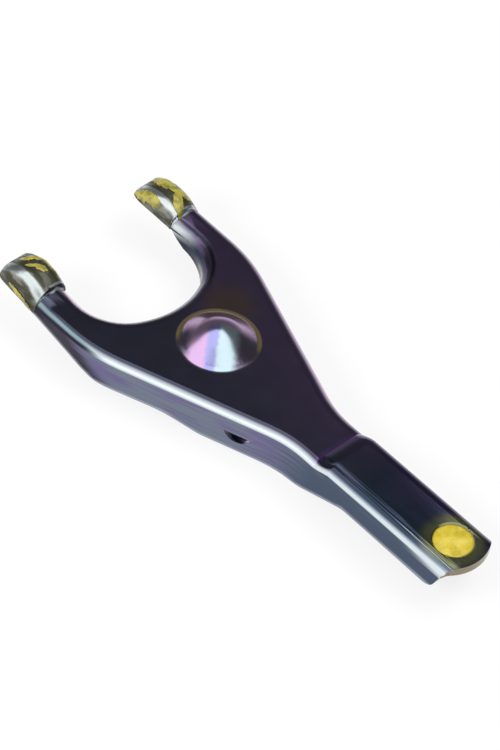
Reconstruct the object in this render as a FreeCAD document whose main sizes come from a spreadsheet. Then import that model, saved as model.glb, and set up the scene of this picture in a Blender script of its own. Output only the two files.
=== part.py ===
import FreeCAD, Part
import math
import os
import Sketcher

# Clutch release fork, pressed from one piece of steel sheet.
# Frame: X runs along the arm, with the two prongs at -X and the arm's end at +X.
# Y is across, and the fork is symmetric about Y = 0. Z is up, out of the domed face.
# The origin is on the axis of the pivot dome, in the plane of the body's upper face.

doc = FreeCAD.newDocument("clutch_fork")
sheet = doc.addObject("Spreadsheet::Sheet", "Sizes")

SIZES = [
    ("gauge", 3.0, "thickness of the sheet"),
    ("bend_radius", 5.0, "outer radius of the bend between web and flange"),
    ("arm_half_width", 11.0, "from the centre line to the flange's outer face"),
    ("arm_end_x", 114.0, "middle of the arm's rounded end"),
    ("arm_end_radius", 14.5, "plan radius of the arm's end"),
    ("arm_rise", 1.9, "height of the arm's web above the body's web"),
    ("joggle_x", 54.3, "where the web starts to rise to the arm"),
    ("joggle_angle", 25.0, "slope of the rise, in degrees"),
    ("joggle_radius", 10.0, "radius at the top of the rise"),
    ("crease_radius", 0.8, "radius at the foot of the rise"),
    ("shoulder_x", 43.1, "where the taper's line meets the arm's line"),
    ("shoulder_blend", 36.0, "plan radius between taper and arm"),
    ("hip_x", -21.2, "where the taper's line meets the prong's line"),
    ("hip_blend", 55.0, "plan radius between taper and prong"),
    ("prong_half_span", 34.8, "from the centre line to the prong's outer face"),
    ("tip_half_span", 35.2, "the same at the tip"),
    ("throat_x", -20.35, "bottom of the throat between the prongs"),
    ("throat_bottom", 30.0, "plan radius of the throat's bottom"),
    ("throat_half_width", 22.6, "half of the throat's greatest width"),
    ("throat_corner", 17.0, "plan radius at the throat's corners"),
    ("throat_close", 4.0, "angle by which the prongs' inner faces close, in degrees"),
    ("tip_x", -64.5, "end of the prongs"),
    ("step_x", -47.0, "step where the contact pad starts"),
    ("pad_x", -55.0, "crown of the contact pad"),
    ("pad_height", 4.0, "height of the crown above the web"),
    ("pad_radius", 16.0, "radius of the crown about Y"),
    ("pad_roll", 6.2, "radius of the pad's outer long edge at the step"),
    ("pad_end_roll", 4.6, "the same at the prong's end"),
    ("throat_roll", 3.8, "radius of the pad's long edge on the throat's side"),
    ("dome_height", 6.0, "height of the pivot dome above the web"),
    ("dome_radius", 15.5, "outer radius of the dome's cap"),
    ("dome_fillet", 2.0, "radius where the dome runs out into the web"),
    ("seat_x", 103.5, "centre of the pushrod's seat"),
    ("seat_width", 13.8, "diameter of the seat's rim"),
    ("seat_depth", 3.0, "depth of the seat below the arm's web"),
    ("tab_x", 27.5, "middle of the lanced tab in each flange"),
    ("tab_length", 9.0, "length of the tab's fold"),
    ("tab_height", 3.3, "height of the half-moon window that the tab is cut from"),
    ("tab_drop", 8.0, "depth of the tab's fold below the web"),
    ("tab_angle", 32.0, "how far the tab is pushed into the channel, in degrees"),
    ("tab_gap", 0.2, "gap that the shearing leaves round the tab"),
    ("rim_tip", 2.2, "depth of the flange at the tips"),
    ("rim_step", 5.2, "depth of the flange at the pad's step"),
    ("rim_prong_x", -30.0, "where the prong's flange starts to deepen towards the hip"),
    ("rim_prong", 9.1, "depth of the flange there"),
    ("rim_hip_x", -19.4, "corner of the flange at the hip"),
    ("rim_hip", 12.9, "depth of the flange there"),
    ("rim_pivot_x", 3.4, "corner of the flange beside the dome"),
    ("rim_pivot", 12.3, "depth of the flange there"),
    ("rim_taper_x", 15.6, "corner of the flange past the dome"),
    ("rim_taper", 15.0, "depth of the flange there"),
    ("rim_waist_x", 35.0, "where the flange starts to deepen towards the belly"),
    ("rim_waist", 15.0, "depth of the flange there"),
    ("rim_belly_x", 48.7, "corner of the flange at the belly"),
    ("rim_belly", 15.85, "depth of the flange there"),
    ("rim_arm_x", 68.2, "where the flange levels out along the arm"),
    ("rim_arm", 9.1, "depth of the flange there"),
    ("rim_end", 9.45, "depth of the flange at the arm's end"),
    ("rim_end_run", 2.6, "length over which the flange rises at the arm's end"),
    ("rim_blend", 14.0, "radius at the rim's sharper corners"),
    ("rim_sweep", 36.0, "radius at the rim's gentle corners"),
    ("rim_round", 4.5, "radius at the rim's last corner"),
    ("relief_tip", 0.5, "depth of the throat's flange at the tips"),
    ("relief_step", 2.3, "depth of the throat's flange at the pad's step"),
    ("relief_x", -38.5, "where the throat's flange is as deep as the outer one"),
    ("relief_angle", 12.5, "slope of the prong's lower edge across the prong, in degrees"),
]
for row, (name, value, note) in enumerate(SIZES, start=1):
    sheet.set("A%d" % row, name)
    sheet.set("B%d" % row, repr(value))
    sheet.set("C%d" % row, note)
    sheet.setAlias("B%d" % row, name)
doc.recompute()
size = {name: float(sheet.get(name)) for name, value, note in SIZES}
gauge = size["gauge"]


# ---- plane geometry ----
def cornered(points, radii):
    """Open chain through points, with an arc of the given radius at each inner point."""
    chain = []
    start = points[0]
    for i in range(1, len(points) - 1):
        (ax, ay), (bx, by), (cx, cy) = points[i - 1], points[i], points[i + 1]
        ux, uy = ax - bx, ay - by
        vx, vy = cx - bx, cy - by
        un, vn = math.hypot(ux, uy), math.hypot(vx, vy)
        ux, uy, vx, vy = ux / un, uy / un, vx / vn, vy / vn
        half = math.acos(max(-1.0, min(1.0, ux * vx + uy * vy))) / 2
        reach = radii[i - 1] / math.tan(half)
        first = (bx + ux * reach, by + uy * reach)
        last = (bx + vx * reach, by + vy * reach)
        wx, wy = ux + vx, uy + vy
        wn = math.hypot(wx, wy)
        depth = radii[i - 1] / math.sin(half) - radii[i - 1]
        middle = (bx + wx / wn * depth, by + wy / wn * depth)
        chain.append(("line", start, first))
        chain.append(("arc", first, middle, last))
        start = last
    chain.append(("line", start, points[-1]))
    return chain


def outerSide(inset, nearEnd, farEnd):
    """The fork's outer edge in plan from the prong's end to the arm's end, on the +Y side."""
    slope = (size["prong_half_span"] - size["arm_half_width"]) / (size["shoulder_x"] - size["hip_x"])
    turn = math.atan(slope)
    lower = math.tan(turn / 2) * inset
    flare = (size["tip_half_span"] - size["prong_half_span"]) / (size["hip_x"] - size["tip_x"])
    tipHalf = size["prong_half_span"] + flare * (size["hip_x"] - nearEnd)
    corners = [
        (nearEnd, tipHalf - inset),
        (size["hip_x"] - lower, size["prong_half_span"] - inset),
        (size["shoulder_x"] - lower, size["arm_half_width"] - inset),
        (farEnd, size["arm_half_width"] - inset),
    ]
    return cornered(corners, [size["hip_blend"] - inset, size["shoulder_blend"] + inset])


def throatSide(inset, nearEnd):
    """The throat's edge in plan from the -Y prong's end to the +Y prong's end."""
    corner = size["throat_corner"] + inset
    cornerY = size["throat_half_width"] - size["throat_corner"]
    between = size["throat_bottom"] - size["throat_corner"]
    bottomX = size["throat_x"] - size["throat_bottom"]
    cornerX = bottomX + math.sqrt(between ** 2 - cornerY ** 2)
    wide = size["throat_bottom"] + inset
    meet = math.atan2(cornerY, cornerX - bottomX)
    close = math.radians(90 + size["throat_close"])

    def onCorner(angle):
        return (cornerX + corner * math.cos(angle), cornerY + corner * math.sin(angle))

    first = onCorner(close)
    last = (bottomX + wide * math.cos(meet), wide * math.sin(meet))
    end = (nearEnd, first[1] - (first[0] - nearEnd) * math.tan(math.radians(size["throat_close"])))
    upper = [("arc", last, onCorner((close + meet) / 2), first), ("line", first, end)]
    lower = [flipped(piece) for piece in reversed(upper)]
    arc = ("arc", (last[0], -last[1]), (bottomX + wide, 0.0), last)
    return lower + [arc] + upper


def flipped(piece):
    """The piece mirrored in Y = 0 and run the other way."""
    return (piece[0],) + tuple((x, -y) for x, y in reversed(piece[1:]))


def closed(chain):
    """The chain with a line from its end back to its start."""
    return chain + [("line", chain[-1][-1], chain[0][1])]


def planLoop(inset, nearEnd, farEnd):
    """The whole fork in plan, with square ends that are trimmed later."""
    side = outerSide(inset, nearEnd, farEnd)
    back = [flipped(piece) for piece in reversed(side)]
    throat = throatSide(inset, nearEnd)
    acrossArm = ("line", side[-1][-1], back[0][1])
    acrossTip = ("line", back[-1][-1], throat[0][1])
    return closed(side + [acrossArm] + back + [acrossTip] + throat)


def sketchLoops(body, name, role, loops):
    """A sketch on one of the body's own origin planes, holding closed loops of lines and arcs."""
    plane = next(f for f in body.Origin.OriginFeatures if f.Role == role)
    sketch = body.newObject("Sketcher::SketchObject", name)
    sketch.AttachmentSupport = [(plane, "")]
    sketch.MapMode = "FlatFace"
    vector = FreeCAD.Vector
    for loop in loops:
        base = sketch.GeometryCount
        ends = []
        for piece in loop:
            points = [vector(x, y, 0) for x, y in piece[1:]]
            if piece[0] == "line":
                sketch.addGeometry(Part.LineSegment(points[0], points[1]), False)
                ends.append((1, 2))
            else:
                arc = Part.Arc(points[0], points[1], points[2])
                index = sketch.addGeometry(arc, False)
                start = sketch.getPoint(index, 1)
                ends.append((1, 2) if (start - points[0]).Length < 1e-6 else (2, 1))
        for i in range(len(loop)):
            j = (i + 1) % len(loop)
            sketch.addConstraint(
                Sketcher.Constraint("Coincident", base + i, ends[i][1], base + j, ends[j][0]))
    return sketch


def padLoops(inset, nearEnd, farEnd):
    """The two prongs' ends in plan, between nearEnd and farEnd."""
    outer = outerSide(inset, nearEnd, size["hip_x"])[0]
    slope = (outer[2][1] - outer[1][1]) / (outer[2][0] - outer[1][0])
    innerEnd = throatSide(inset, nearEnd)[-1][-1]
    rise = math.tan(math.radians(size["throat_close"]))
    span = farEnd - nearEnd
    corners = [
        outer[1],
        (farEnd, outer[1][1] + slope * span),
        (farEnd, innerEnd[1] + rise * span),
        innerEnd,
    ]
    upper = [("line", corners[i], corners[(i + 1) % 4]) for i in range(4)]
    return [upper, [flipped(piece) for piece in reversed(upper)]]


def topLine(drop, nearEnd, farEnd):
    """The web's upper face from the side, lowered by drop."""
    slope = math.tan(math.radians(size["joggle_angle"]))
    lean = math.tan(math.radians(size["joggle_angle"]) / 2) * drop
    footX = size["joggle_x"] + size["crease_radius"] * math.tan(math.radians(size["joggle_angle"]) / 2)
    corners = [
        (nearEnd, -drop),
        (footX + lean, -drop),
        (footX + lean + size["arm_rise"] / slope, size["arm_rise"] - drop),
        (farEnd, size["arm_rise"] - drop),
    ]
    return cornered(corners, [size["crease_radius"] + drop, size["joggle_radius"] - drop])


def above(chain, ceiling):
    """The area between a chain and a ceiling."""
    start, end = chain[0][1], chain[-1][-1]
    corners = [end, (end[0], ceiling), (start[0], ceiling), start]
    return chain + [("line", corners[i], corners[i + 1]) for i in range(3)]


def padArch(drop, nearEnd, farEnd):
    """The pad's crown from the side, lowered by drop and closed above."""
    centre = size["pad_height"] - size["pad_radius"]
    radius = size["pad_radius"] - drop

    def onArch(x):
        return (x, centre + math.sqrt(radius ** 2 - (x - size["pad_x"]) ** 2))

    return above([("arc", onArch(nearEnd), onArch(size["pad_x"]), onArch(farEnd))], 30.0)


def rimLine(nearEnd, farEnd):
    """The flange's lower edge from the side."""
    web = size["arm_rise"] - size["gauge"]
    corners = [
        (nearEnd, -size["rim_tip"]),
        (size["tip_x"], -size["rim_tip"]),
        (size["step_x"], -size["rim_step"]),
        (size["rim_prong_x"], -size["rim_prong"]),
        (size["rim_hip_x"], -size["rim_hip"]),
        (size["rim_pivot_x"], -size["rim_pivot"]),
        (size["rim_taper_x"], -size["rim_taper"]),
        (size["rim_waist_x"], -size["rim_waist"]),
        (size["rim_belly_x"], -size["rim_belly"]),
        (size["rim_arm_x"], -size["rim_arm"]),
        (farEnd - size["rim_end_run"], -size["rim_end"]),
        (farEnd, size["arm_rise"] - size["bend_radius"]),
        (farEnd + 0.6 * size["gauge"], web),
        (farEnd + 5 * size["gauge"], web),
    ]
    blend, sweep, small = size["rim_blend"], size["rim_sweep"], size["rim_round"]
    radii = [small, sweep, sweep, blend, sweep, blend, sweep, blend, blend, small, small / 2, small / 4]
    return cornered(corners, radii)


def reliefLine(nearEnd):
    """The lower edge of the throat's flange along a prong, from the side."""
    slope = (size["rim_hip"] - size["rim_prong"]) / (size["rim_hip_x"] - size["rim_prong_x"])
    neck = size["rim_prong"] + slope * (size["relief_x"] - size["rim_prong_x"]) / 2
    corners = [
        (nearEnd, -size["relief_tip"]),
        (size["tip_x"], -size["relief_tip"]),
        (size["step_x"], -size["relief_step"]),
        (size["relief_x"], -neck),
        (size["relief_x"] + size["gauge"], -2 * neck),
    ]
    return cornered(corners, [size["rim_round"], size["rim_blend"] / 2, size["rim_round"]])


# ---- features ----
def newBody(name):
    body = doc.addObject("PartDesign::Body", name)
    return body


def padBothWays(body, sketch, name, up, down):
    feature = body.newObject("PartDesign::Pad", name)
    feature.Profile = sketch
    feature.SideType = "Two sides"
    feature.setExpression("Length", up)
    feature.setExpression("Length2", down)
    doc.recompute()
    return feature


def pocketAcross(body, sketch, name):
    """A cut along Y through the whole body."""
    feature = body.newObject("PartDesign::Pocket", name)
    feature.Profile = sketch
    feature.SideType = "Symmetric"
    feature.setExpression("Length", "4 * Sizes.tip_half_span")
    before = body.Shape.Volume
    doc.recompute()
    assert body.Shape.Volume < before - 1e-3, name + " cut nothing"
    return feature


def roll(body, name, radius, wanted):
    """A fillet on the edges that the test picks."""
    doc.recompute()
    base = body.Tip
    names = ["Edge%d" % (i + 1) for i, e in enumerate(base.Shape.Edges) if wanted(e)]
    feature = body.newObject("PartDesign::Fillet", name)
    feature.Base = (base, names)
    feature.setExpression("Radius", radius)
    doc.recompute()
    return feature


def onTop(lowest, nearEnd, farEnd):
    """A test for long edges along the rim of the top face."""
    def wanted(edge):
        box = edge.BoundBox
        if box.ZMin < lowest - 1e-4:
            return False
        if box.XLength < 1e-3 and abs(box.XMin - nearEnd) < 1e-3:
            return False
        if box.XLength < 1e-3 and abs(box.XMin - farEnd) < 1e-3:
            return False
        middle = edge.valueAt((edge.FirstParameter + edge.LastParameter) / 2)
        acrossWeb = box.XLength < 1e-3 and abs(middle.y) < 1e-3
        return not acrossWeb
    return wanted


past = 8.0
nearEnd = size["tip_x"] - past
farEnd = size["arm_end_x"] + past
padEnd = size["step_x"] - 4.0


def sheetForm(name, inset, radius):
    """Web and flanges as one block, rolled along its upper edges."""
    body = newBody(name)
    plan = sketchLoops(body, name + "_plan", "XY_Plane", [planLoop(inset, padEnd, farEnd)])
    padBothWays(body, plan, name + "_block", "Sizes.arm_rise + 6", "2 * Sizes.rim_belly")
    crown = sketchLoops(body, name + "_crown", "XZ_Plane", [above(topLine(inset, padEnd - 1, farEnd + 1), 30.0)])
    pocketAcross(body, crown, name + "_top")
    roll(body, name + "_bend", radius, onTop(-inset, padEnd, farEnd))
    return body


def padForm(name, drop, padNear, padStart):
    """The prongs' ends as blocks under an arch."""
    body = newBody(name + "_block")
    plan = sketchLoops(body, name + "_plan", "XY_Plane", padLoops(drop, padNear, padStart))
    padBothWays(body, plan, name + "_pad", "Sizes.pad_height + 6", "2 * Sizes.rim_belly")
    arch = padArch(drop, padNear - 0.2, padStart + 0.2)
    crown = sketchLoops(body, name + "_crown", "XZ_Plane", [arch])
    pocketAcross(body, crown, name + "_top")
    return body


def easeLongEdges(name, kind, body, outerEnds, throatEnds):
    """The pads' long upper edges rolled or chamfered, by one amount at the tip and one at the step."""
    eased = doc.addObject(kind, name)
    eased.Base = body
    faces = padLoops(0.0, size["tip_x"], size["step_x"])[0]
    middle = (faces[0][1][1] + faces[3][1][1]) / 2
    edges = []
    for i, edge in enumerate(body.Shape.Edges):
        box = edge.optimalBoundingBox()
        if box.XLength > 1.0 and box.ZMin > -2 * size["rim_belly"] + 1:
            outside = abs(edge.valueAt(edge.FirstParameter).y) > middle
            atTip, atStep = outerEnds if outside else throatEnds
            fromTip = edge.valueAt(edge.FirstParameter).x < edge.valueAt(edge.LastParameter).x
            edges.append((i + 1,) + ((atTip, atStep) if fromTip else (atStep, atTip)))
    eased.Edges = edges
    doc.recompute()
    return eased


def domeForm(name, drop):
    """The pivot dome as a turned solid that reaches down into the web."""
    body = newBody(name)
    cap = size["dome_radius"] - drop
    foot = size["dome_fillet"] + drop
    centre = size["dome_height"] - size["dome_radius"]
    footZ = foot - drop
    footX = math.sqrt((cap + foot) ** 2 - (footZ - centre) ** 2)
    angle = math.atan2(footZ - centre, footX)
    touch = (cap * math.cos(angle), centre + cap * math.sin(angle))
    apex = (0.0, centre + cap)
    middle = (math.pi / 2 + angle) / 2
    onCap = (cap * math.cos(middle), centre + cap * math.sin(middle))
    swing = (angle - math.pi / 2) / 2
    low = (footX + foot * math.cos(math.pi + (angle + math.pi / 2) / 2),
           footZ + foot * math.sin(math.pi + (angle + math.pi / 2) / 2))
    floor = -drop - size["gauge"] / 2
    loop = [
        ("arc", apex, onCap, touch),
        ("arc", touch, low, (footX, -drop)),
        ("line", (footX, -drop), (footX, floor)),
        ("line", (footX, floor), (0.0, floor)),
        ("line", (0.0, floor), apex),
    ]
    sketch = sketchLoops(body, name + "_profile", "XZ_Plane", [loop])
    turned = body.newObject("PartDesign::Revolution", name + "_turned")
    turned.Profile = sketch
    turned.ReferenceAxis = (sketch, ["V_Axis"])
    turned.Angle = 360
    doc.recompute()
    return body


outer = sheetForm("outer_form", 0.0, "Sizes.bend_radius")
inner = sheetForm("inner_form", gauge, "Sizes.bend_radius - Sizes.gauge")
deep = size["pad_radius"] - size["pad_height"] - size["rim_tip"] - 0.5
hollowNear = size["pad_x"] - math.sqrt((size["pad_radius"] - gauge) ** 2 - deep ** 2)
hollowStart = size["step_x"] - gauge / 2
padLoop = padLoops(0.0, size["tip_x"], size["step_x"])[0]
narrowest = min(abs(piece[1][1] - piece[2][1]) for piece in (padLoop[3], padLoop[1]))
squeeze = min(1.0, 0.94 * narrowest / (size["pad_roll"] + size["throat_roll"]))
outerRolls = (size["pad_end_roll"] * squeeze, size["pad_roll"] * squeeze)
throatRolls = (size["throat_roll"] * squeeze, size["throat_roll"] * squeeze)
# a chamfer inside that leaves the wall as thick at the rolled edge as elsewhere
easing = 2 - math.sqrt(2)
outerChamfer = easing * max(outerRolls[1] - gauge, gauge / 4)
throatChamfer = easing * max(throatRolls[1] - gauge, gauge / 4)
outerPadBlock = padForm("outer_pad", 0.0, size["tip_x"], size["step_x"])
outerPad = easeLongEdges("outer_pad", "Part::Fillet", outerPadBlock, outerRolls, throatRolls)
innerPadBlock = padForm("inner_pad", gauge, hollowNear, hollowStart)
innerPad = easeLongEdges("inner_pad", "Part::Chamfer", innerPadBlock,
                         (outerChamfer, outerChamfer), (throatChamfer, throatChamfer))
outerDome = domeForm("outer_dome", 0.0)
innerDome = domeForm("inner_dome", gauge)


def slab(name, role, loop, across="4 * Sizes.tip_half_span"):
    """A cutter with the given outline, through the whole fork unless told otherwise."""
    body = newBody(name)
    sketch = sketchLoops(body, name + "_outline", role, [loop])
    feature = body.newObject("PartDesign::Pad", name + "_pad")
    feature.Profile = sketch
    feature.SideType = "Symmetric"
    feature.setExpression("Length", across)
    doc.recompute()
    return body


endHalf = size["arm_half_width"] + gauge / 4
endBack = size["arm_end_x"] - size["arm_end_radius"]
endSide = endBack + math.sqrt(size["arm_end_radius"] ** 2 - endHalf ** 2)
flangeEnd = endBack + math.sqrt(size["arm_end_radius"] ** 2 - size["arm_half_width"] ** 2)
rim = rimLine(size["tip_x"] - 5.0, flangeEnd)
rimCutter = slab("rim_cutter", "XZ_Plane", above(rim, -40.0))
endArc = ("arc", (endSide, -endHalf), (size["arm_end_x"], 0.0), (endSide, endHalf))
endCutter = slab("end_cutter", "XY_Plane", above([endArc], endHalf)[:1] + [
    ("line", (endSide, endHalf), (farEnd + 5.0, endHalf)),
    ("line", (farEnd + 5.0, endHalf), (farEnd + 5.0, -endHalf)),
    ("line", (farEnd + 5.0, -endHalf), (endSide, -endHalf)),
])


def seatBall(name, grow):
    """The ball that forms the pushrod's seat, or its back when grown by the gauge."""
    ball = doc.addObject("Part::Sphere", name)
    cap = "(Sizes.seat_width ^ 2 / 4 + Sizes.seat_depth ^ 2) / (2 * Sizes.seat_depth)"
    ball.setExpression("Radius", cap + grow)
    ball.setExpression("Placement.Base.x", "Sizes.seat_x")
    ball.setExpression("Placement.Base.z", "Sizes.arm_rise - Sizes.seat_depth + " + cap)
    return ball


seatCut = seatBall("seat_cut", "")
seatBack = seatBall("seat_back", " + Sizes.gauge")
under = doc.addObject("Part::Cylinder", "seat_under")
under.setExpression("Radius", "Sizes.seat_width / 2 + Sizes.gauge / 2")
under.setExpression("Height", "Sizes.seat_depth + Sizes.gauge / 2")
under.setExpression("Placement.Base.x", "Sizes.seat_x")
under.setExpression("Placement.Base.z", "Sizes.arm_rise - Sizes.seat_depth - Sizes.gauge")


def halfMoon(name, clearance, depth):
    """A half-moon plate in the XZ plane, its fold on the X axis and its bow below."""
    body = newBody(name)
    half = size["tab_length"] / 2 - clearance
    low = clearance - size["tab_height"]
    loop = [("arc", (-half, 0.0), (0.0, low), (half, 0.0)), ("line", (half, 0.0), (-half, 0.0))]
    sketch = sketchLoops(body, name + "_outline", "XZ_Plane", [loop])
    plate = body.newObject("PartDesign::Pad", name + "_plate")
    plate.Profile = sketch
    plate.SideType = "Symmetric"
    plate.setExpression("Length", depth)
    doc.recompute()
    return body


taper = math.atan((size["prong_half_span"] - size["arm_half_width"]) / (size["shoulder_x"] - size["hip_x"]))
faceY = size["arm_half_width"] + (size["shoulder_x"] - size["tab_x"]) * math.tan(taper)
foldAt = FreeCAD.Vector(size["tab_x"], faceY, -size["tab_drop"])
outward = FreeCAD.Vector(math.sin(taper), math.cos(taper), 0)
alongTaper = FreeCAD.Rotation(FreeCAD.Vector(0, 0, 1), -math.degrees(taper))
lean = FreeCAD.Rotation(FreeCAD.Vector(1, 0, 0), -size["tab_angle"])
window = halfMoon("tab_window", 0.0, "Sizes.gauge + 1")
window.Placement = FreeCAD.Placement(foldAt - outward * (gauge / 2), alongTaper)
leaf = halfMoon("tab_leaf", size["tab_gap"], "Sizes.gauge")
toFold = FreeCAD.Placement(FreeCAD.Vector(0, -gauge / 2, 0), FreeCAD.Rotation())
leaf.Placement = FreeCAD.Placement(foldAt, alongTaper * lean) * toFold


def mirrored(source, name):
    feature = doc.addObject("Part::Mirroring", name)
    feature.Source = source
    feature.Normal = FreeCAD.Vector(0, 1, 0)
    feature.Base = FreeCAD.Vector(0, 0, 0)
    doc.recompute()
    return feature


# the throat's flange runs out towards the tips: a cut that slopes across each prong
relief = slab("relief", "XZ_Plane", above(reliefLine(size["tip_x"] - 5.0), -40.0),
              "2 * (Sizes.tip_half_span - Sizes.throat_half_width)")
throatFace = (padLoop[2][1][1] + padLoop[2][2][1]) / 2
toThroat = FreeCAD.Vector(0, throatFace, 0)
toMiddle = FreeCAD.Vector(0, (size["tip_half_span"] - throatFace) / 2, 0)
acrossProng = FreeCAD.Rotation(FreeCAD.Vector(1, 0, 0), -size["relief_angle"])
relief.Placement = FreeCAD.Placement(toThroat, acrossProng) * FreeCAD.Placement(toMiddle, FreeCAD.Rotation())
farRelief = mirrored(relief, "relief_far")
farWindow = mirrored(window, "tab_window_far")
farLeaf = mirrored(leaf, "tab_leaf_far")


def join(kind, name, *parts):
    feature = doc.addObject(kind, name)
    if kind == "Part::MultiFuse" or kind == "Part::MultiCommon":
        feature.Shapes = list(parts)
    else:
        feature.Base, feature.Tool = parts
    doc.recompute()
    return feature


block = join("Part::MultiFuse", "outer_block", outer, outerPad, outerDome)
core = join("Part::MultiFuse", "inner_block", inner, innerPad, innerDome)
shell = join("Part::Cut", "shell", block, core)
backing = join("Part::MultiCommon", "seat_backing", seatBack, under)
backed = join("Part::MultiFuse", "backed", shell, backing)
cutters = join("Part::MultiFuse", "cutters", rimCutter, endCutter, relief, farRelief, seatCut, window, farWindow)
trimmed = join("Part::Cut", "trimmed", backed, cutters)
fork = join("Part::MultiFuse", "clutch_fork", trimmed, leaf, farLeaf)

for item in doc.Objects:
    bad = [word for word in item.State if word in ("Invalid", "Error")]
    assert not bad, item.Name + " failed: " + ", ".join(bad)

nodes = [fork]
for node in nodes:
    assert not node.Shape.isNull() and node.Shape.isValid(), node.Label + " has no valid shape"
    assert len(node.Shape.Solids) == 1, node.Label + " is not one solid"

os.makedirs("parts", exist_ok=True)
for node in nodes:
    node.Shape.exportStep("parts/" + node.Label + ".step")
    box = node.Shape.optimalBoundingBox()
    print(node.Label, "volume", round(node.Shape.Volume), "mm3,", round(box.XLength, 1), "x",
          round(box.YLength, 1), "x", round(box.ZLength, 1), "mm")
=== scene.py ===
import math
import bpy
from mathutils import Matrix, Vector, noise
from types import SimpleNamespace


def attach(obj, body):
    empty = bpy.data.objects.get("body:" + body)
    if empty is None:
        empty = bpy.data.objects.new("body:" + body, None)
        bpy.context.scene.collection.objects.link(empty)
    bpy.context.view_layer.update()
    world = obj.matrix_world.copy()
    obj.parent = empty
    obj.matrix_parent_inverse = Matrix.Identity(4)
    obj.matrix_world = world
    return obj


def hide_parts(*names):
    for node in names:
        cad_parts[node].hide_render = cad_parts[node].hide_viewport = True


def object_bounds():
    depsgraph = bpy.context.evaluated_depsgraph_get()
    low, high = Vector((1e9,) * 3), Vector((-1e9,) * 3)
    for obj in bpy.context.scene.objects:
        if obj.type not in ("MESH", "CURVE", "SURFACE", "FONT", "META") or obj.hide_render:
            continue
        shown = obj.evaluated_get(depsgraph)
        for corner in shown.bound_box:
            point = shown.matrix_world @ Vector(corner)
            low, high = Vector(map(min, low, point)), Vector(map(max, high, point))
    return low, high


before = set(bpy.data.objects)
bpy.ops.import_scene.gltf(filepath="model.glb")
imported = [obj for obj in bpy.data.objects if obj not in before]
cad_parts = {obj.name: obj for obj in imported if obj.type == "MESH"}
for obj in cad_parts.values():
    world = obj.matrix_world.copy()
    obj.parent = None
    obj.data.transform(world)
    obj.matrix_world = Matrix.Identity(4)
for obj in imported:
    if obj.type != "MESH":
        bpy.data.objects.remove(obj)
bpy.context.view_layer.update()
millimetre = 0.001  # sizes are in millimetres: x along the arm, z from the web's upper face up


# a wrapped socket that takes part in expressions
class Wire:
    def __init__(self, tree, socket):
        self.tree = tree
        self.socket = socket

    def maths(self, operation, *others):
        sockets = dict(enumerate((self,) + others))
        return self.tree.node("ShaderNodeMath", {"operation": operation}, sockets)[0]

    def __add__(self, other):
        return self.maths("ADD", other)

    __radd__ = __add__

    def __mul__(self, other):
        return self.maths("MULTIPLY", other)

    __rmul__ = __mul__

    def __sub__(self, other):
        return self.maths("SUBTRACT", other)

    def __rsub__(self, other):
        return (self * -1.0) + other

    def __truediv__(self, other):
        return self.maths("DIVIDE", other)

    def clear(self):  # kept between 0 and 1
        return self.maths("MINIMUM", 1.0).maths("MAXIMUM", 0.0)

    def along(self, direction):  # how far a vector points in a direction
        sockets = {0: self, 1: direction}
        return self.tree.node("ShaderNodeVectorMath", {"operation": "DOT_PRODUCT"}, sockets)[1]

    def rise(self, low, high):  # 0 below low, 1 above high, smooth between
        settings = {"interpolation_type": "SMOOTHSTEP"}
        sockets = {"Value": self, 1: low, 2: high}
        return self.tree.node("ShaderNodeMapRange", settings, sockets)[0]

    def fall(self, low, high):
        return 1.0 - self.rise(low, high)

    def band(self, low, high, soft):  # 1 between low and high
        return self.rise(low - soft, low + soft) * self.fall(high - soft, high + soft)


class Finish:
    def __init__(self, holder):
        self.material = holder
        holder.use_nodes = True
        self.nodes = holder.node_tree.nodes
        self.links = holder.node_tree.links
        self.nodes.clear()

    def node(self, kind, settings=None, sockets=None):
        made = self.nodes.new(kind)
        for name, value in (settings or {}).items():
            if name == "stops":
                self.setStops(made.color_ramp.elements, value)
            else:
                setattr(made, name, value)
        for name, value in (sockets or {}).items():
            if isinstance(value, Wire):
                self.links.new(value.socket, made.inputs[name])
            else:
                made.inputs[name].default_value = value
        return [Wire(self, socket) for socket in made.outputs]

    def setStops(self, elements, stops):
        while len(elements) < len(stops):
            elements.new(0.5)
        for element, (place, level) in zip(elements, stops):
            element.position = place
            element.color = (level, level, level, 1.0)

    def named(self, kind):  # every output of a node that needs no input, by its name
        return {wire.socket.name: wire for wire in self.node(kind)}

    def mix(self, amount, first, second):
        sockets = {0: amount, 6: first, 7: second}
        return self.node("ShaderNodeMix", {"data_type": "RGBA"}, sockets)[2]

    def ramp(self, where, steps):  # a number that runs from step to step, each a place and a level
        low, high = steps[0][0], steps[-1][0]
        top = max(level for place, level in steps)
        stops = [((place - low) / (high - low), level / top) for place, level in steps]
        colour = self.node("ShaderNodeValToRGB", {"stops": stops}, {0: (where - low) / (high - low)})[0]
        return self.node("ShaderNodeSeparateColor", {}, {0: colour})[0] * top

    def noise(self, vector, scale, detail=3.0):
        sockets = {"Vector": vector, "Scale": scale, "Detail": detail}
        return self.node("ShaderNodeTexNoise", {}, sockets)[0]

    def stretched(self, vector, factors):
        sockets = {0: vector, 1: factors}
        return self.node("ShaderNodeVectorMath", {"operation": "MULTIPLY"}, sockets)[0]

    def apart(self, vector):
        return self.node("ShaderNodeSeparateXYZ", {}, {0: vector})

    def bump(self, height, strength, depth):
        sockets = {"Strength": strength, "Distance": depth * millimetre, "Height": height}
        return self.node("ShaderNodeBump", {}, sockets)[0]

    def surface(self, sockets):
        shader = self.node("ShaderNodeBsdfPrincipled", {}, sockets)[0]
        self.node("ShaderNodeOutputMaterial", {}, {"Surface": shader})
        return self.material


def distance(x, y, middle=(0.0, 0.0)):  # from a point of the plan
    across, along = x - middle[0], y - middle[1]
    return (across * across + along * along).maths("SQRT")


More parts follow.
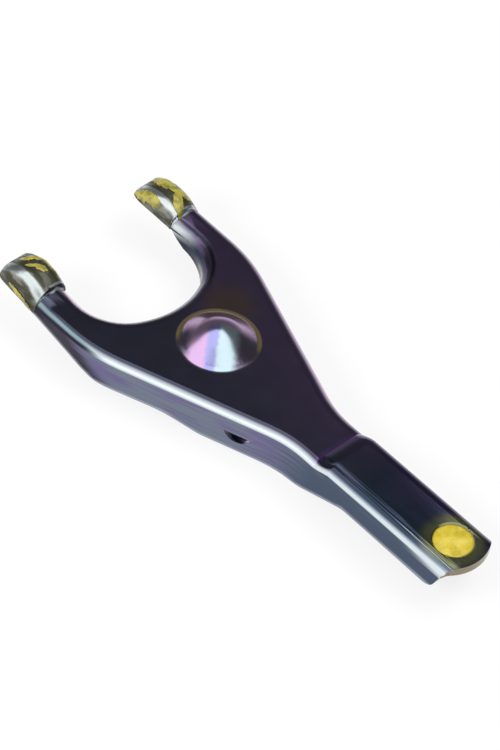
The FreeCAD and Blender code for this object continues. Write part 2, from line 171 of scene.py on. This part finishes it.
def shade(red, green, blue):  # a colour as a screen shows it, 0 to 255, made linear
    def linear(level):
        level /= 255.0
        return level / 12.92 if level <= 0.04045 else ((level + 0.055) / 1.055) ** 2.4
    return (linear(red), linear(green), linear(blue), 1.0)


# the plated steel: its colours, among them painted highlights, painted reflections and painted shade
plating = {
    "webNavy": shade(80, 82, 102),
    "webPurple": shade(102, 88, 120),
    "webBrown": shade(118, 102, 90),
    "armTeal": shade(60, 74, 94),
    "armViolet": shade(74, 68, 102),
    # a painted violet highlight along the joggle's crease
    "creaseHighlightViolet": shade(116, 88, 148),
    "bendShade": shade(44, 48, 56),
    # painted highlights on the bends, on the pads and at their step; pink on the far bends
    "highlightPale": shade(222, 232, 236),
    "padHighlightPale": shade(196, 204, 204),
    "bendProng": shade(122, 142, 148),
    "farBendHighlight": shade(214, 190, 214),
    "throatDark": shade(48, 54, 70),
    "flangeGrey": shade(116, 124, 140),
    "flangeLilac": shade(110, 104, 142),
    "flangeProng": shade(50, 46, 60),
    "flangeArm": shade(66, 80, 102),
    "flangeLip": shade(168, 174, 186),
    "undersideGrey": shade(120, 122, 134),
    "oliveFilm": shade(128, 132, 94),
    "cutEdge": shade(142, 130, 110),
    # the dome's painted reflections, tinted pink, blue, cyan and gold by the plating, darker on its flanks
    "domeGoldReflection": shade(204, 184, 122),
    "domePinkReflection": shade(190, 158, 196),
    "domeBlueReflection": shade(150, 150, 200),
    "domeCyanReflection": shade(176, 196, 204),
    "domeDarkReflection": shade(112, 104, 124),
    "padGrey": shade(122, 122, 112),
    "stain": shade(58, 58, 42),
    "roughness": 0.16,
    "greasyRoughness": 0.30,
}
# where a colour begins and where it is full, along the fork
lengthwise = {
    "arm": (50.0, 74.0),
    "creaseHighlight": (53.5, 55.7),
    "armFlange": (34.0, 56.0),
    "prongFlange": (-36.0, -26.0),
    "paleBend": (-26.0, -14.0),
    "throat": (-16.0, -12.0),
    "nearProng": (-26.0, -16.0),
    "farProng": (-20.0, -12.0),
    # where the painted highlight by the far prong's pad runs
    "prongHighlight": (-46.0, -34.0),
    "armUpright": (50.0, 60.0),
    "film": (92.0, 97.0),
    "cutEdge": (103.0, 106.0),
    "pads": (-47.6, -46.9),
    "stepHighlight": (-48.0, -46.8),
}
# the same across it
crosswise = {
    "webPurple": (-16.0, 16.0),
    "armViolet": (-7.0, 9.0),
    "throat": (0.0, 4.0),
    "nearProng": (-4.0, 0.0),
    "farProng": (4.0, 8.0),
    # painted highlight bands on the pads, and the painted highlight line at their step
    "farPadHighlight": (23.2, 26.0),
    "nearPadHighlight": (-33.6, -30.6),
    "nearStepHighlight": (-28.5, -22.0),
    "farStepHighlight": (27.0, 34.0),
}
# the same by how far the surface faces up, from 1 on the web to 0 on a flange
uprights = {
    "web": 0.96,
    "palest": 0.48,
    "palestOnProng": 0.82,
    "armLift": 0.12,
    "flange": (0.02, 0.22),
    "shaded": (0.90, 0.995),
    "prongBend": (0.45, 0.75),
    # the painted highlight by the far prong's pad, by how far the surface faces up
    "prongHighlight": (0.0, 0.5),
    "prongHighlightEnd": (0.70, 0.95),
    "underside": (-0.6, -0.2),
    "film": (0.80, 0.97),
    "stepHighlight": (0.5, 0.8),
    "satin": (0.15, 0.93),
}
# how deep the flange hangs at places along the fork
lipDepths = (
    (-46.0, 5.5),
    (-30.0, 9.1),
    (-19.4, 12.9),
    (3.4, 12.3),
    (15.6, 15.0),
    (35.0, 15.0),
    (48.7, 15.8),
    (68.2, 9.1),
)
brownTint = {"middle": (-9.0, 13.0), "reach": (3.0, 12.0), "strength": 0.8}
# the dome's painted reflections, tinted by the plating, by the distance to one side and towards the front
domeReflectionStreaks = {
    "sideways": (0.7577, 0.6527),
    "ragged": 1.5,
    "reach": (13.2, 13.8),
    "darkBefore": (-10.5, -7.5),
    "blue": (-4.2, -2.6),
    "cyan": (-0.8, 0.6),
    "darkAfter": (4.6, 7.5),
    "farSide": (-3.5, 0.5),
    "goldRing": (12.1, 13.5),
    "goldSide": (-1.0, 4.0),
}


def readings(finish):  # where a point is, which way it faces, and the noises at that place
    place = finish.named("ShaderNodeTexCoord")
    spot = finish.stretched(place["Object"], (1.0 / millimetre,) * 3)
    x, y, z = finish.apart(spot)
    faceX, faceY, faceZ = finish.apart(place["Normal"])
    return SimpleNamespace(
        spot=spot, x=x, y=y, z=z, faceX=faceX, faceY=faceY, faceZ=faceZ,
        broad=finish.noise(spot, 0.035, 2.0) - 0.5,
        middling=finish.noise(spot, 0.11) - 0.5,
        fine=finish.noise(spot, 0.7, 4.0) - 0.5,
        streaks=finish.noise(finish.stretched(spot, (0.05, 0.0, 1.4)), 1.0, 4.0) - 0.5,
    )


def webColour(steel, at):  # navy towards one side, purple towards the other, brown beside the dome
    value = plating
    across = at.y + at.broad * 22.0
    web = steel.mix(across.rise(*crosswise["webPurple"]), value["webNavy"], value["webPurple"])
    arm = steel.mix(across.rise(*crosswise["armViolet"]), value["armTeal"], value["armViolet"])
    web = steel.mix((at.x + at.broad * 30.0).rise(*lengthwise["arm"]), web, arm)
    fromBrown = distance(at.x, at.y, brownTint["middle"])
    brown = fromBrown.fall(*brownTint["reach"]) * brownTint["strength"]
    web = steel.mix(brown, web, value["webBrown"])
    # a painted violet highlight along the joggle's crease
    creaseHighlight = (at.x + at.middling * 2.0).band(*lengthwise["creaseHighlight"], 0.8)
    return steel.mix(creaseHighlight * 0.85, web, value["creaseHighlightViolet"])


def flangeColour(steel, at):  # grey and lilac streaks, dark on the prongs, with a pale lip
    value = plating
    lilac = (at.streaks * 1.6 + at.broad).rise(-0.08, 0.12)
    flange = steel.mix(lilac, value["flangeGrey"], value["flangeLilac"])
    onArm = (at.x + at.streaks * 16.0).rise(*lengthwise["armFlange"])
    flange = steel.mix(onArm, flange, value["flangeArm"])
    onProng = (at.x + at.z * 1.2 + at.streaks * 14.0).fall(*lengthwise["prongFlange"])
    flange = steel.mix(onProng, flange, value["flangeProng"])
    aboveLip = at.z + steel.ramp(at.x, lipDepths) + at.streaks * 1.2
    return steel.mix(aboveLip.fall(0.3, 1.5) * 0.75, flange, value["flangeLip"])


def sheetColour(steel, at):  # web, bends and flanges together
    value = plating
    x, y, faceY, faceZ = at.x, at.y, at.faceY, at.faceZ
    inThroat = (y * faceY).fall(-7.0, -1.5)
    inThroat = inThroat * x.fall(*lengthwise["throat"]) * y.rise(*crosswise["throat"])
    nearProng = x.fall(*lengthwise["nearProng"]) * y.fall(*crosswise["nearProng"])
    farProng = x.fall(*lengthwise["farProng"]) * y.rise(*crosswise["farProng"])
    nearSide = faceY.fall(-0.25, -0.05)

    # the bends carry a painted highlight: palest on the near side, and pink on the far side, a painted
    # highlight in the plating's tint
    bend = steel.mix(x.rise(*lengthwise["paleBend"]), value["bendProng"], value["highlightPale"])
    bend = steel.mix(faceY.rise(0.05, 0.3), bend, value["farBendHighlight"])
    bend = steel.mix(inThroat, bend, value["throatDark"])
    bend = steel.mix(faceZ.fall(*uprights["prongBend"]) * nearProng, bend, value["flangeProng"])

    # from the web over the bend's painted highlight, which keeps a painted shade line on its inner side
    upright = faceZ + x.rise(*lengthwise["armUpright"]) * uprights["armLift"]
    palest = nearProng * (uprights["palestOnProng"] - uprights["palest"]) + uprights["palest"]
    flatness = ((upright - palest) / (palest * -1.0 + uprights["web"])).clear()
    colour = steel.mix(flatness, bend, webColour(steel, at))
    shaded = faceZ.band(*uprights["shaded"], 0.03) * nearSide
    colour = steel.mix(shaded * (farProng * 0.35 + 0.6), colour, value["bendShade"])

    # a painted highlight where the far prong meets its pad
    prongHighlight = x.fall(*lengthwise["prongHighlight"]) * farProng * nearSide
    prongHighlight = prongHighlight * faceZ.rise(*uprights["prongHighlight"]) * faceZ.fall(*uprights["prongHighlightEnd"])
    colour = steel.mix(prongHighlight * 0.8, colour, value["padHighlightPale"])

    flange = steel.mix(inThroat, flangeColour(steel, at), value["throatDark"])
    colour = steel.mix(faceZ.fall(*uprights["flange"]), colour, flange)
    colour = steel.mix(faceZ.fall(*uprights["underside"]), colour, value["undersideGrey"])

    # a film of old grease round the seat, and the sheared end of the arm
    fromSeat = distance(x, y, (seat["centreX"], 0.0)) + at.middling * 8.0
    film = fromSeat.fall(8.0, 12.5) * x.rise(*lengthwise["film"]) * faceZ.rise(*uprights["film"])
    colour = steel.mix(film * 0.85, colour, value["oliveFilm"])
    sheared = at.faceX.rise(0.35, 0.6) * x.rise(*lengthwise["cutEdge"])
    return steel.mix(sheared, colour, value["cutEdge"])


# painted reflections on the dome: a bright wedge down the near flank in the plating's pink, blue and cyan
# with darker flanks either side, a pink far side and a gold ring at the far foot
def domePaintedReflection(steel, at):  # pink, blue and cyan down the near flank, gold where the far side runs out
    value, streak = plating, domeReflectionStreaks
    fromAxis = distance(at.x, at.y)
    sideX, sideY = streak["sideways"]
    sideways = at.x * sideX + at.y * sideY + at.fine * streak["ragged"]
    nearer = at.x * sideY - at.y * sideX
    colour = steel.mix(sideways.rise(*streak["blue"]), value["domePinkReflection"], value["domeBlueReflection"])
    colour = steel.mix(sideways.rise(*streak["cyan"]), colour, value["domeCyanReflection"])
    colour = steel.mix(sideways.rise(*streak["darkAfter"]), colour, value["domeDarkReflection"])
    colour = steel.mix(sideways.fall(*streak["darkBefore"]), colour, value["domeDarkReflection"])
    colour = steel.mix(nearer.fall(*streak["farSide"]), colour, value["domePinkReflection"])
    gold = fromAxis.band(*streak["goldRing"], 0.4) * nearer.fall(*streak["goldSide"])
    colour = steel.mix(gold, colour, value["domeGoldReflection"])
    return fromAxis.fall(*streak["reach"]) * at.z.rise(-0.5, 0.05), colour


def platedSteel():
    steel = Finish(bpy.data.materials.new("platedSteel"))
    value = plating
    at = readings(steel)
    # the dome's painted reflections laid over the sheet's colours
    onDome, domeReflectionColour = domePaintedReflection(steel, at)
    colour = steel.mix(onDome, sheetColour(steel, at), domeReflectionColour)

    # the pads: grey, with painted highlight bands along their rolls, stained with old grease, and a painted
    # highlight line at the step
    pads = at.x.fall(*lengthwise["pads"])
    across = at.y + at.middling * 2.0
    padHighlight = across.band(*crosswise["farPadHighlight"], 0.5) + across.band(*crosswise["nearPadHighlight"], 0.5)
    stepHighlight = at.y.band(*crosswise["nearStepHighlight"], 1.0) + at.y.band(*crosswise["farStepHighlight"], 1.0)
    stepHighlight = stepHighlight * at.x.band(*lengthwise["stepHighlight"], 0.2)
    patches = steel.noise(steel.stretched(at.spot, (0.16, 0.45, 0.45)), 1.0, 4.0).rise(0.34, 0.60)
    stain = (pads * (1.0 - padHighlight * 0.85) * (1.0 - stepHighlight) * patches).clear()
    colour = steel.mix(pads, colour, value["padGrey"])
    colour = steel.mix(pads * padHighlight, colour, value["padHighlightPale"])
    colour = steel.mix(stepHighlight * at.faceZ.rise(*uprights["stepHighlight"]), colour, value["highlightPale"])
    colour = steel.mix(stain, colour, value["stain"])

    rough = value["roughness"] + at.middling * 0.08 + at.faceZ.band(*uprights["satin"], 0.06) * 0.07
    rough = rough + stain * (value["greasyRoughness"] - value["roughness"])
    grain = steel.noise(steel.stretched(at.spot, (0.4, 2.5, 2.5)), 1.0, 4.0)
    return steel.surface({
        "Base Color": colour,
        "Metallic": 1.0 - stain * 0.5,
        "Roughness": rough,
        "Normal": steel.bump(grain, 0.05, 0.2),
    })


# the grease: fresh in the seat, thinned on the pads
greases = {
    "fresh": (shade(186, 166, 40), shade(206, 186, 56)),
    "thinned": (shade(104, 100, 42), shade(170, 160, 58)),
    "pads": (-20.0, 0.0),
    "coat": 0.5,
    "coatRoughness": 0.08,
}


def wetGrease():
    grease = Finish(bpy.data.materials.new("wetGrease"))
    value = greases
    place = grease.named("ShaderNodeTexCoord")
    spot = grease.stretched(place["Object"], (1.0 / millimetre,) * 3)
    onPads = grease.apart(spot)[0].fall(*value["pads"])
    clouds = grease.noise(spot, 0.35, 4.0)
    fresh = grease.mix(clouds.rise(0.35, 0.65), *value["fresh"])
    thinned = grease.mix(clouds.rise(0.30, 0.62), *value["thinned"])
    return grease.surface({
        "Base Color": grease.mix(onPads, fresh, thinned),
        "Roughness": clouds * 0.12 + 0.24,
        "Normal": grease.bump(grease.noise(spot, 0.8), 0.4, 0.4),
        "Coat Weight": value["coat"],
        "Coat Roughness": value["coatRoughness"],
    })


def takeOnly(piece):
    bpy.ops.object.select_all(action="DESELECT")
    piece.select_set(True)
    bpy.context.view_layer.objects.active = piece


def applyAll(piece):
    takeOnly(piece)
    for modifier in list(piece.modifiers):
        bpy.ops.object.modifier_apply(modifier=modifier.name)


def refineWhere(piece, chosen, cuts):
    takeOnly(piece)
    bpy.ops.object.mode_set(mode="EDIT")
    bpy.ops.mesh.select_mode(type="FACE")
    bpy.ops.mesh.select_all(action="DESELECT")
    bpy.ops.object.mode_set(mode="OBJECT")
    for face in piece.data.polygons:
        face.select = chosen(face.center, face.normal)
    bpy.ops.object.mode_set(mode="EDIT")
    bpy.ops.mesh.subdivide(number_cuts=cuts)
    bpy.ops.object.mode_set(mode="OBJECT")


dome = {
    "crown": 12.5,
    "foot": 2.5,
    "slope": math.radians(35.5),
    "edge": 13.2,
    "clear": 14.4,  # nothing of a bend lies nearer to the dome's axis
    "cuts": 4,
}


def domeHeight(away):  # a crown arc, a straight slope and a foot arc that meets the web
    crown, foot, slope, edge = dome["crown"], dome["foot"], dome["slope"], dome["edge"]
    rounds = crown + foot
    crownEnd = crown * math.sin(slope)
    footStart = edge - foot * math.sin(slope)
    straight = (edge - rounds * math.sin(slope)) * math.tan(slope)
    height = rounds * (1 - math.cos(slope)) + straight
    if away < crownEnd:
        return height - crown + math.sqrt(crown ** 2 - away ** 2)
    if away < footStart:
        return foot * (1 - math.cos(slope)) + (footStart - away) * math.tan(slope)
    return foot - math.sqrt(max(0.0, foot ** 2 - max(0.0, edge - away) ** 2))


def onOuterDome(spot, normal):
    inside = spot.xy.length < (dome["edge"] + 0.02) * millimetre
    return inside and normal.z > 0.25 and spot.z > -0.2 * millimetre


def shapeDome(fork):
    refineWhere(fork, onOuterDome, dome["cuts"])
    onDome = [corner.index for corner in fork.data.vertices if onOuterDome(corner.co, corner.normal)]
    for index in onDome:
        spot = fork.data.vertices[index].co
        spot.z = domeHeight(spot.xy.length / millimetre) * millimetre


bends = {
    "radius": 5.0,  # outside the solid's bends
    "tight": 2.6,  # outside the bends as drawn
    "from": -46.8,
    "to": 97.0,
    "fadeIn": 1.6,
    "fadeOut": 3.0,
    "joggle": (54.3, 62.8),
    "rise": 1.9,
    "straightFrom": 48.0,
    "cuts": 2,
}


def onOuterBend(spot, normal):  # on the near side only
    x, y, z = spot / millimetre
    if not 0.01 < normal.z < 0.9995 or z < -5.1 or not bends["from"] < x < bends["to"]:
        return False
    besideDome = math.hypot(x, y) > dome["clear"]
    besideSeat = math.hypot(x - seat["centreX"], y) > seat["width"] / 2 + 1.0
    return besideDome and besideSeat and y < -5.0 and normal.y < -0.01


def faceHeight(x):  # the upper face's height along the fork, through the joggle
    low, high = bends["joggle"]
    climbed = min(1.0, max(0.0, (x - low) / (high - low)))
    return bends["rise"] * (0.5 - 0.5 * math.cos(math.pi * climbed))


def tightReach(outward, upward):  # how far the tighter bend lies from the wider one's centre
    old, new = bends["radius"], bends["tight"]
    inset = old - new
    if outward * old < inset * upward:
        return old / upward
    if upward * old < inset * outward:
        return old / outward
    middle = inset * (outward + upward)
    return middle + math.sqrt(middle ** 2 - 2 * inset ** 2 + new ** 2)


def tightenBends(fork):
    radius = bends["radius"]
    refineWhere(fork, onOuterBend, bends["cuts"])
    shifts = []
    for corner in fork.data.vertices:
        normal = corner.normal
        x, y, z = corner.co / millimetre
        height = z - faceHeight(x) + radius
        if not onOuterBend(corner.co, normal) or not 0.0 < height < radius - 0.002:
            continue
        tilt = math.acos(height / radius)
        outward, upward = math.sin(tilt), math.cos(tilt)
        sideways = Vector((normal.x if x < bends["straightFrom"] else 0.0, normal.y, 0.0))
        if sideways.length < 0.01:
            continue
        direction = sideways.normalized() * outward + Vector((0.0, 0.0, upward))
        fade = min(1.0, (x - bends["from"]) / bends["fadeIn"], (bends["to"] - x) / bends["fadeOut"])
        shift = direction * (tightReach(outward, upward) - radius) * fade * millimetre
        shifts.append((corner.index, shift))
    for index, shift in shifts:
        fork.data.vertices[index].co += shift


def forkPiece(finish):
    takeOnly(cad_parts["clutch_fork"])
    bpy.ops.object.duplicate()
    fork = bpy.context.object
    fork.name = "forkSteel"
    bpy.ops.object.mode_set(mode="EDIT")
    bpy.ops.mesh.select_all(action="SELECT")
    bpy.ops.mesh.remove_doubles(threshold=0.000002)
    bpy.ops.object.mode_set(mode="OBJECT")
    tightenBends(fork)
    shapeDome(fork)
    bpy.ops.object.shade_smooth_by_angle(angle=math.radians(26.0))
    weighted = fork.modifiers.new("flatFacesLead", "WEIGHTED_NORMAL")
    weighted.keep_sharp = True
    weighted.weight = 80
    applyAll(fork)
    fork.data.materials.clear()
    fork.data.materials.append(finish)
    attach(fork, "root")
    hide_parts("clutch_fork")
    return fork


seat = {
    "centreX": 103.5,
    "rimZ": 1.9,
    "depth": 3.0,
    "width": 13.8,
    "level": 1.4,
    "overlap": 0.04,
    "rings": 7,
    "ringStep": 0.8,
}


def seatGrease(finish):  # a ball cut off at the grease's level, its top swollen and uneven
    value = seat
    halfWidth = value["width"] / 2
    ball = (halfWidth ** 2 + value["depth"] ** 2) / (2 * value["depth"])
    centre = Vector((value["centreX"], 0.0, value["rimZ"] - value["depth"] + ball)) * millimetre
    radius = (ball + value["overlap"]) * millimetre
    top = (0, 0, value["level"] * millimetre)
    bpy.ops.object.select_all(action="DESELECT")
    bpy.ops.mesh.primitive_uv_sphere_add(segments=96, ring_count=96, radius=radius, location=centre)
    grease = bpy.context.object
    grease.name = "seatGrease"
    bpy.ops.object.mode_set(mode="EDIT")
    bpy.ops.mesh.select_all(action="SELECT")
    bpy.ops.mesh.bisect(plane_co=top, plane_no=(0, 0, 1), clear_outer=True, use_fill=True)
    for ring in range(value["rings"]):
        bpy.ops.mesh.inset(thickness=value["ringStep"] * millimetre)
    bpy.ops.object.mode_set(mode="OBJECT")
    for corner in grease.data.vertices:
        spot = grease.matrix_world @ corner.co
        if spot.z > (value["level"] - 0.02) * millimetre:
            away = (spot.xy - centre.xy).length / (halfWidth * millimetre)
            uneven = noise.noise(Vector((spot.x * 260, spot.y * 260, 3.0)))
            swell = uneven * 0.55 + 0.35 * (1 - away ** 2)
            corner.co.z += swell * max(0.0, 1.0 - away ** 4) * millimetre
    bpy.ops.object.transform_apply(location=True, rotation=True, scale=True)
    bpy.ops.object.shade_smooth()
    grease.data.materials.append(finish)
    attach(grease, "root")
    return grease


# smears: middle along and across, half length, half width, turn in degrees, thickness
farPadSmears = (
    (-58.6, 22.3, 6.4, 2.0, 2.0, 0.50),
    (-60.2, 30.8, 5.4, 2.9, -4.0, 0.55),
    (-54.0, 31.3, 5.0, 1.9, 18.0, 0.45),
    (-50.2, 27.9, 4.6, 1.9, -33.0, 0.75),
)
nearPadSmears = (
    (-59.8, -24.9, 4.6, 1.5, 50.0, 0.50),
    (-56.8, -22.4, 3.0, 1.1, -10.0, 0.40),
    (-52.4, -23.0, 3.0, 1.0, 4.0, 0.35),
    (-54.6, -26.3, 2.9, 1.5, 14.0, 0.50),
    (-57.2, -27.9, 2.2, 1.0, 32.0, 0.30),
)
# on the near pad's outer face the second number is the height
outerFaceSmears = (
    (-54.6, -2.0, 5.0, 1.2, -16.0, 0.35),
    (-50.4, -3.7, 2.4, 1.1, -24.0, 0.35),
)
smearGrid = {
    "step": 0.28,
    "skin": 0.12,
    "ragged": 0.42,
    "least": 0.035,
}


def smearThickness(along, across, smears):
    spot = Vector((along * 0.9, across * 0.9, 0.7))
    along += noise.noise(spot) * smearGrid["ragged"] * 1.6
    across += noise.noise(spot * 1.7 + Vector((5.0, 1.0, 0.0))) * smearGrid["ragged"]
    ridges = 0.72 + 0.6 * noise.noise(Vector((along * 0.5, across * 1.7, 2.0)))
    thickest = 0.0
    for middleX, middleY, halfLength, halfWidth, turn, height in smears:
        swing = math.radians(turn)
        run = (along - middleX) * math.cos(swing) + (across - middleY) * math.sin(swing)
        side = (across - middleY) * math.cos(swing) - (along - middleX) * math.sin(swing)
        inside = 1.0 - (run / halfLength) ** 2 - (side / halfWidth) ** 2
        if inside > 0.0:
            thickest = max(thickest, height * inside ** 0.6 * ridges)
    return thickest


def padGrease(name, finish, fork, smears, fromSide=False):  # a net laid on the fork, then thickened
    lows = [min(smear[axis] - smear[2] for smear in smears) for axis in (0, 1)]
    highs = [max(smear[axis] + smear[2] for smear in smears) for axis in (0, 1)]
    counts = [int((high - low) / smearGrid["step"]) for low, high in zip(lows, highs)]
    bpy.ops.object.select_all(action="DESELECT")
    bpy.ops.mesh.primitive_grid_add(x_subdivisions=counts[0], y_subdivisions=counts[1], size=2.0)
    smear = bpy.context.object
    smear.name = name
    bare = []
    for corner in smear.data.vertices:
        along = (lows[0] + highs[0]) / 2 + corner.co.x * (highs[0] - lows[0]) / 2
        across = (lows[1] + highs[1]) / 2 + corner.co.y * (highs[1] - lows[1]) / 2
        thick = smearThickness(along, across, smears)
        if fromSide:
            start, way = Vector((along, -60.0, across)) * millimetre, Vector((0, 1, 0))
        else:
            start, way = Vector((along, across, 30.0)) * millimetre, Vector((0, 0, -1))
        found, spot, normal, face = fork.ray_cast(start, way)
        if not found or thick < smearGrid["least"]:
            bare.append(corner.index)
        if found:
            corner.co = spot + normal * thick * millimetre
    bpy.ops.object.mode_set(mode="EDIT")
    bpy.ops.mesh.select_mode(type="VERT")
    bpy.ops.mesh.select_all(action="DESELECT")
    bpy.ops.object.mode_set(mode="OBJECT")
    for index in bare:
        smear.data.vertices[index].select = True
    bpy.ops.object.mode_set(mode="EDIT")
    bpy.ops.mesh.delete(type="VERT")
    bpy.ops.mesh.select_all(action="SELECT")
    if fromSide:
        bpy.ops.mesh.flip_normals()
    bpy.ops.mesh.vertices_smooth(factor=0.5, repeat=2)
    bpy.ops.object.mode_set(mode="OBJECT")
    body = smear.modifiers.new("body", "SOLIDIFY")
    body.thickness = smearGrid["skin"] * millimetre
    body.offset = -1.0
    applyAll(smear)
    bpy.ops.object.shade_smooth()
    smear.data.materials.append(finish)
    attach(smear, "root")
    return smear


# the studio is a dim room over a white floor
up, down = (0.0, 0.0, 1.0), (0.0, 0.0, -1.0)
# each part of the room lies inside its edges: a direction, and where along it the part begins and is full
room = {
    "window": (
        ((0.672, -0.386, 0.632), 0.0, 0.15),
        ((-0.110, -0.827, 0.553), 0.0, 0.16),
        (up, 0.26, 0.46),
    ),
    "gap": (
        ((0.996, 0.087, 0.0), 0.0, 0.14),
        ((-0.616, -0.788, 0.0), 0.0, 0.16),
        (down, -0.92, -0.80),
    ),
    "front": (
        ((0.30, -0.95, 0.0), -0.1, 0.4),
        (down, -0.60, -0.46),
        (up, -0.30, -0.05),
    ),
    "backdrop": (
        ((-0.64, 0.77, 0.0), 0.30, 0.80),
        (down, -0.42, 0.05),
    ),
    "below": (
        (down, -0.02, 0.06),
    ),
}
levels = {
    "window": 1.7,
    "gap": 0.62,
    "front": 1.5,
    "backdrop": 0.6,
    "below": 1.0,
    "least": 0.16,
    "soft": 0.6,
    "background": 1.0,
    "floorGlow": 0.8,
}
lamps = {
    "sideBox": {"towards": (-0.15, -0.77, 0.60), "distance": 0.9, "size": (0.5, 0.3), "watts": 5.0},
    "topBox": {"towards": (0.3, 0.5, 1.0), "distance": 1.1, "size": (0.6, 0.6), "watts": 5.0},
}


def studioFloor():
    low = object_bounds()[0]
    bpy.ops.object.select_all(action="DESELECT")
    bpy.ops.mesh.primitive_plane_add(size=6.0, location=(0, 0, low[2] - 0.1 * millimetre))
    floor = bpy.context.object
    floor.name = "floor"
    paper = Finish(bpy.data.materials.new("floorPaper"))
    path = paper.named("ShaderNodeLightPath")
    matte = paper.node("ShaderNodeBsdfDiffuse", {}, {"Color": (0.86, 0.86, 0.86, 1.0)})[0]
    glow = paper.node("ShaderNodeEmission", {}, {"Color": (1.0, 1.0, 1.0, 1.0), "Strength": 1.0})[0]
    seen = path["Is Camera Ray"] + path["Is Glossy Ray"] + path["Is Transmission Ray"]
    seen = seen.clear() * levels["floorGlow"]
    both = paper.node("ShaderNodeMixShader", {}, {0: seen, 1: matte, 2: glow})[0]
    paper.node("ShaderNodeOutputMaterial", {}, {"Surface": both})
    floor.data.materials.append(paper.material)


def studioAir():
    world = bpy.data.worlds.new("studioAir")
    bpy.context.scene.world = world
    air = Finish(world)
    path = air.named("ShaderNodeLightPath")
    towards = air.named("ShaderNodeTexCoord")["Generated"]

    def within(part):
        inside = 1.0
        for direction, low, high in room[part]:
            inside = towards.along(direction).rise(low, high) * inside
        return inside

    def glowing(strength):
        sockets = {"Color": (1.0, 1.0, 1.0, 1.0), "Strength": strength}
        return air.node("ShaderNodeBackground", {}, sockets)[0]

    level = within("window") * (1.0 - within("gap") * levels["gap"]) * levels["window"]
    for part in ("backdrop", "front", "below"):
        level = level.maths("MAXIMUM", within(part) * levels[part])
    level = level.maths("MAXIMUM", levels["least"])
    soft, white = glowing(levels["soft"]), glowing(levels["background"])
    byGloss = air.node("ShaderNodeMixShader", {}, {0: path["Is Glossy Ray"], 1: soft, 2: glowing(level)})[0]
    byCamera = air.node("ShaderNodeMixShader", {}, {0: path["Is Camera Ray"], 1: byGloss, 2: white})[0]
    air.node("ShaderNodeOutputWorld", {}, {"Surface": byCamera})


def softbox(name, value):
    bpy.ops.object.select_all(action="DESELECT")
    direction = Vector(value["towards"]).normalized()
    bpy.ops.object.light_add(type="AREA", location=direction * value["distance"])
    lamp = bpy.context.object
    lamp.name = name
    lamp.rotation_euler = direction.to_track_quat("Z", "Y").to_euler()
    lamp.data.shape = "RECTANGLE"
    lamp.data.size, lamp.data.size_y = value["size"]
    lamp.data.energy = value["watts"]
    lamp.visible_glossy = False  # the metal shows the window instead


# the camera: angles in degrees, the point it aims at and its distance in millimetres
lens = {
    "azimuth": -49.236,
    "elevation": 47.513,
    "roll": 8.590,
    "aim": (16.564, -2.089, 0.0),
    "distance": 1109.93,
    "length": 172.8,
}


def camera():
    value = lens
    data = bpy.data.cameras.new("camera")
    data.lens = value["length"]
    data.sensor_width = 36.0
    data.clip_start = 0.05
    eye = bpy.data.objects.new("camera", data)
    bpy.context.scene.collection.objects.link(eye)
    turned = Matrix.Rotation(math.radians(value["azimuth"] + 90.0), 4, "Z")
    tipped = Matrix.Rotation(math.radians(90.0 - value["elevation"]), 4, "X")
    rolled = Matrix.Rotation(math.radians(value["roll"]), 4, "Z")
    aim = Matrix.Translation(Vector(value["aim"]) * millimetre)
    back = Matrix.Translation((0.0, 0.0, value["distance"] * millimetre))
    eye.matrix_world = aim @ turned @ tipped @ rolled @ back
    bpy.context.scene.camera = eye


steel = platedSteel()
grease = wetGrease()
fork = forkPiece(steel)
print("fork done")
seatGrease(grease)
padGrease("farPadGrease", grease, fork, farPadSmears)
padGrease("nearPadGrease", grease, fork, nearPadSmears)
padGrease("outerFaceGrease", grease, fork, outerFaceSmears, fromSide=True)
print("grease done")
bpy.context.scene.view_settings.view_transform = "Standard"
studioFloor()
studioAir()
for name, value in lamps.items():
    softbox(name, value)
camera()
print("studio done")
